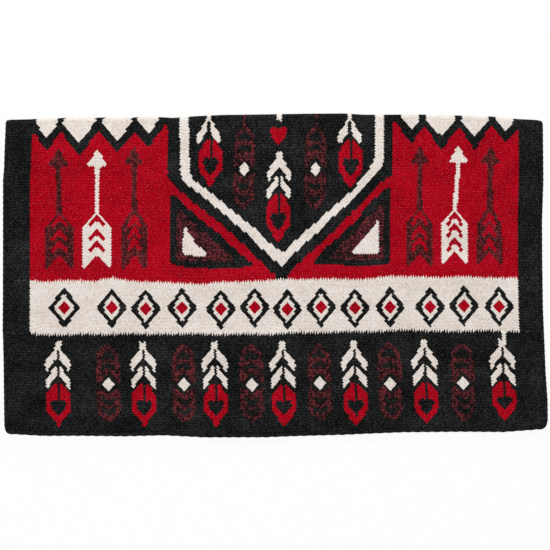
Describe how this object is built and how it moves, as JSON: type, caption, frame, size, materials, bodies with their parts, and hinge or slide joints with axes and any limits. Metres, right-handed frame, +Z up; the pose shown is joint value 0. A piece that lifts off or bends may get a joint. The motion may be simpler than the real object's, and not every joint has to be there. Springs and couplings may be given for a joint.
{
  "type": "saddle blanket",
  "caption": "Hand-woven wool saddle blanket with a stepped tapestry pattern, folded once over its spine and lying flat. The upper half opens about the fold.",
  "frame": {"origin": "middle of the bounding box, on the surface that the folded blanket lies on", "axes": "+X along the fold to the right as the near half is seen from above, +Y across the blanket towards the fold, +Z up from the off half to the near half"},
  "size_m": [0.864, 0.5088, 0.0143],
  "materials": {
    "black_wool": "matt ribbed wool weave",
    "red_wool": "matt ribbed wool weave",
    "cream_wool": "matt ribbed wool weave",
    "maroon_wool": "matt ribbed wool weave"
  },
  "bodies": {
    "off_half": {"off_selvedge_cord_left": "black_wool", "off_selvedge_cord_right": "black_wool", "off_end_cord": "black_wool", "off_border": "black_wool", "off_cream_band": "cream_wool", "off_medallion_field": "black_wool", "off_cream_line": "cream_wool", "off_black_line": "black_wool", "off_red_panel_left": "red_wool", "off_arrow_left_1": "maroon_wool", "off_arrow_left_2": "cream_wool", "off_arrow_left_3": "maroon_wool", "off_corner_left_black": "black_wool", "off_corner_left_maroon": "maroon_wool", "off_corner_left_cream": "cream_wool", "off_tooth_left_1": "cream_wool", "off_tooth_left_2": "cream_wool", "off_tooth_left_3": "cream_wool", "off_tooth_left_4": "cream_wool", "off_red_panel_right": "red_wool", "off_arrow_right_1": "maroon_wool", "off_arrow_right_2": "cream_wool", "off_arrow_right_3": "maroon_wool", "off_corner_right_black": "black_wool", "off_corner_right_maroon": "maroon_wool", "off_corner_right_cream": "cream_wool", "off_tooth_right_1": "cream_wool", "off_tooth_right_2": "cream_wool", "off_tooth_right_3": "cream_wool", "off_tooth_right_4": "cream_wool"},
    "near_half": {"near_selvedge_cord_left": "black_wool", "near_selvedge_cord_right": "black_wool", "near_end_cord": "black_wool", "near_border": "black_wool", "near_cream_band": "cream_wool", "near_medallion_field": "black_wool", "near_cream_line": "cream_wool", "near_black_line": "black_wool", "near_red_panel_left": "red_wool", "near_arrow_left_1": "maroon_wool", "near_arrow_left_2": "cream_wool", "near_arrow_left_3": "maroon_wool", "near_corner_left_black": "black_wool", "near_corner_left_maroon": "maroon_wool", "near_corner_left_cream": "cream_wool", "near_tooth_left_1": "cream_wool", "near_tooth_left_2": "cream_wool", "near_tooth_left_3": "cream_wool", "near_tooth_left_4": "cream_wool", "near_red_panel_right": "red_wool", "near_arrow_right_1": "maroon_wool", "near_arrow_right_2": "cream_wool", "near_arrow_right_3": "maroon_wool", "near_corner_right_black": "black_wool", "near_corner_right_maroon": "maroon_wool", "near_corner_right_cream": "cream_wool", "near_tooth_right_1": "cream_wool", "near_tooth_right_2": "cream_wool", "near_tooth_right_3": "cream_wool", "near_tooth_right_4": "cream_wool"}
  },
  "joints": [
    {"name": "unfold", "type": "hinge", "parent": "off_half", "child": "near_half", "pos_m": [0, 0.25451, 0.00715], "axis": [-1, 0, 0], "range_deg": [0, 180]}
  ]
}
